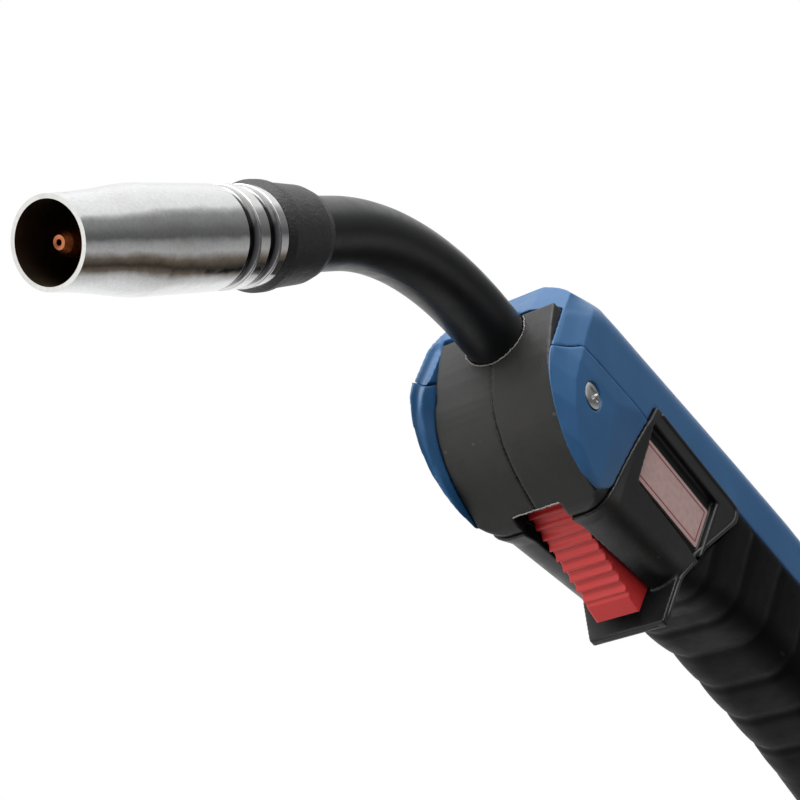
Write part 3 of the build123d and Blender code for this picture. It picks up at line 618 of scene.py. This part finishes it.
def screw(station, seat):
    """Pan-head screw with a cross recess: a head of polar rings and a ringed shank, in mm."""
    bm = bmesh.new()
    rings, spokes = 30, 96
    lift = 0.45

    def height(r, a):
        dome = 1.6 - 0.55 * (r / HEAD_R) ** 3.2
        x, y = r * math.cos(a + 0.5), r * math.sin(a + 0.5)
        arm = min(abs(x), abs(y)) / 0.42
        reach = r / 1.75
        inside = max(arm, reach)
        return dome - 0.95 * (1 - reach * 0.7) * (1 / (1 + (inside / 0.95) ** 14))

    profile = [(HEAD_R * (i / rings) ** 0.8, None) for i in range(1, rings + 1)]
    profile += [(HEAD_R, 0.7), (3.11, 0.12), (3.0, 0.0), (1.6, 0.0)]
    depth = 0.0
    while depth < THREAD_LENGTH:
        profile += [(THREAD_R, -depth - 0.1), (THREAD_ROOT_R, -depth - 0.35)]
        depth += THREAD_PITCH
    profile += [(0.6, -23.8)]
    centre = bm.verts.new((0, 0, height(0, 0)))
    loops = []
    for r, z in profile:
        loops.append([
            bm.verts.new((r * math.cos(a), r * math.sin(a), height(r, a) if z is None else z))
            for a in (2 * math.pi * k / spokes for k in range(spokes))
        ])
    for k in range(spokes):
        bm.faces.new((centre, loops[0][k], loops[0][(k + 1) % spokes]))
    for a, b in zip(loops, loops[1:]):
        for k in range(spokes):
            bm.faces.new((a[k], b[k], b[(k + 1) % spokes], a[(k + 1) % spokes]))
    bm.faces.new(loops[-1][::-1])
    turn = Matrix(((1, 0, 0), (0, 0, -1), (0, 1, 0))).to_4x4()
    move = Matrix.Translation(st(station[0], -seat - lift, station[1]))
    bmesh.ops.transform(bm, matrix=move @ turn @ Matrix.Scale(0.001, 4), verts=bm.verts)
    bmesh.ops.recalc_face_normals(bm, faces=bm.faces)
    return bm


# Each screw's station x and z, and how far out its seat lies.
SCREWS = (((13.0, -13.0), 16.3), ((92.0, 16.0), 12.6), ((164.0, 14.0), 12.6))
screw_mesh = bpy.data.meshes.new("cross_head_screws")
gathered = bmesh.new()
for station, seat in SCREWS:
    one = screw(station, seat)
    part = bpy.data.meshes.new("one_screw")
    one.to_mesh(part)
    one.free()
    gathered.from_mesh(part)
gathered.to_mesh(screw_mesh)
gathered.free()
screws = link("cross_head_screws", screw_mesh)
shade(screws, 40)
put(screws, "zinc", replaces=["handle_screws"])

# The trigger's return spring: a coil of wire filling the CAD spring's box.
spring_low, spring_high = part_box("trigger_spring")
WIRE = 0.0003
TURNS = 4
COIL_STEPS = 192
mid = (spring_low + spring_high) / 2
coil_r = (spring_high.x - spring_low.x) / 2 - WIRE
coil = []
for i in range(COIL_STEPS + 1):
    a = 2 * math.pi * TURNS * i / COIL_STEPS
    z = spring_low.z + WIRE + (spring_high.z - spring_low.z - 2 * WIRE) * i / COIL_STEPS
    coil.append(Vector((mid.x + coil_r * math.cos(a), mid.y + coil_r * math.sin(a), z)))
spring = tube("trigger_return_spring", coil, WIRE)
shade(spring, 60)
put(spring, "spring_steel", replaces=["trigger_spring"])
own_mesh(spring)

# ---- stage: floor, camera, surroundings, lights -----------------------------------------
floor_mesh = bpy.data.meshes.new("floor")
bm = bmesh.new()
bmesh.ops.create_grid(bm, x_segments=8, y_segments=8, size=60.0)
bm.to_mesh(floor_mesh)
bm.free()
floor = link("floor", floor_mesh)
floor.location = (0, 0, -0.62)
t = Tree("floor_paper")
t.colour(t.mix(t.spread(t.noise(3.0, 2.0), 0.3, 0.7), (0.84, 0.84, 0.84), (0.88, 0.88, 0.88)))
t.bsdf.inputs["Roughness"].default_value = 0.8
floor.data.materials.append(t.mat)
floor.visible_glossy = False
floor.visible_diffuse = False

RIGHT = Vector((0.5735, -0.8032, 0.1610)).normalized()
UP = Vector((-0.6288, -0.3056, 0.7149)).normalized()
BACK = RIGHT.cross(UP).normalized()
EYE = Vector((-0.42183, -0.17620, -0.28248))
cam_data = bpy.data.cameras.new("camera")
cam = bpy.data.objects.new("camera", cam_data)
bpy.context.scene.collection.objects.link(cam)
cam.matrix_world = Matrix((
    (RIGHT.x, UP.x, BACK.x, EYE.x),
    (RIGHT.y, UP.y, BACK.y, EYE.y),
    (RIGHT.z, UP.z, BACK.z, EYE.z),
    (0, 0, 0, 1),
))
cam_data.lens = 79.07
cam_data.sensor_width = 36.0
cam_data.clip_start = 0.01
cam_data.clip_end = 50.0
bpy.context.scene.camera = cam

# A white tent with a darker room to its right: brightness follows the angle from the
# picture's right (0) over the top (positive) or below (negative).
TENT = [(-180, 0.85), (-120, 0.95), (-74, 0.85), (-62, 0.70), (-54, 0.55), (-45, 0.12),
        (-36, 0.03), (-25, 0.12), (-14, 0.44), (-3, 0.33), (6, 0.11), (15, 0.14), (28, 0.24),
        (36, 0.30), (42, 0.50), (48, 0.95), (90, 1.2), (180, 0.85)]
world = bpy.data.worlds.new("studio")
bpy.context.scene.world = world
world.use_nodes = True
wt = world.node_tree
wt.nodes.clear()
direction = wt.nodes.new("ShaderNodeTexCoord").outputs["Generated"]


def along(axis):
    n = wt.nodes.new("ShaderNodeVectorMath")
    n.operation = "DOT_PRODUCT"
    n.inputs[1].default_value = axis
    wt.links.new(direction, n.inputs[0])
    return n.outputs["Value"]


def between(value, low, high, kind="SMOOTHSTEP"):
    n = wt.nodes.new("ShaderNodeMapRange")
    n.interpolation_type = kind
    n.inputs["From Min"].default_value = low
    n.inputs["From Max"].default_value = high
    wt.links.new(value, n.inputs["Value"])
    return n.outputs["Result"]


def mixed(share, a, b):
    n = wt.nodes.new("ShaderNodeMix")
    n.data_type = "RGBA"
    wt.links.new(share, n.inputs[0])
    for socket, value in ((n.inputs[6], a), (n.inputs[7], b)):
        if isinstance(value, tuple):
            socket.default_value = value
        else:
            wt.links.new(value, socket)
    return n.outputs[2]


turn = wt.nodes.new("ShaderNodeMath")
turn.operation = "ARCTAN2"
wt.links.new(along(UP), turn.inputs[0])
wt.links.new(along(RIGHT), turn.inputs[1])
tent = wt.nodes.new("ShaderNodeValToRGB")
for i, (angle, level) in enumerate(TENT):
    stops = tent.color_ramp.elements
    stop = stops[i] if i < 2 else stops.new((angle + 180) / 360)
    stop.position = (angle + 180) / 360
    warm = 0.22 if level < 0.16 and angle < -20 else 0.0
    stop.color = (level * (1 + warm), level, level * (1 - warm), 1)
wt.links.new(between(turn.outputs[0], -math.pi, math.pi, "LINEAR"), tent.inputs[0])
room = mixed(between(along(UP), 0.15, 0.75), (0.10, 0.10, 0.11, 1), (0.95, 0.95, 0.95, 1))
room = mixed(between(along(RIGHT), -0.35, -0.75), room, (1.15, 1.13, 1.08, 1))
sides = mixed(between(along(BACK), 0.0, 0.45), tent.outputs[0], room)
behind = mixed(between(along(BACK), -0.80, -0.93), sides, (1, 1, 1, 1))
seen = wt.nodes.new("ShaderNodeBackground")
seen.inputs["Color"].default_value = (1, 1, 1, 1)
lit = wt.nodes.new("ShaderNodeBackground")
wt.links.new(behind, lit.inputs["Color"])
lit.inputs["Strength"].default_value = 1.0
ray = wt.nodes.new("ShaderNodeLightPath")
either = wt.nodes.new("ShaderNodeMixShader")
wt.links.new(ray.outputs["Is Camera Ray"], either.inputs[0])
wt.links.new(lit.outputs[0], either.inputs[1])
wt.links.new(seen.outputs[0], either.inputs[2])
sky = wt.nodes.new("ShaderNodeOutputWorld")
wt.links.new(either.outputs[0], sky.inputs["Surface"])
bpy.context.scene.view_settings.view_transform = "Standard"

CENTRE = Vector((-0.22, 0, -0.02))


def soft_light(name, away, distance, width, height, power, colour=(1, 1, 1), glossy=True):
    """An area light in direction away (in the picture's right, up and back) of the torch."""
    data = bpy.data.lights.new(name, "AREA")
    data.shape = "RECTANGLE"
    data.size = width
    data.size_y = height
    data.energy = power
    data.color = colour
    lamp = bpy.data.objects.new(name, data)
    bpy.context.scene.collection.objects.link(lamp)
    d = (RIGHT * away[0] + UP * away[1] + BACK * away[2]).normalized()
    lamp.location = CENTRE + d * distance
    lamp.rotation_euler = d.to_track_quat("Z", "Y").to_euler()
    lamp.visible_camera = False
    lamp.visible_glossy = glossy
    return lamp


soft_light("key", (-0.15, 1.0, 0.15), 0.9, 1.2, 0.9, 10.0)
soft_light("fill", (-0.9, 0.25, 0.6), 1.0, 0.7, 0.7, 3.2, glossy=False)
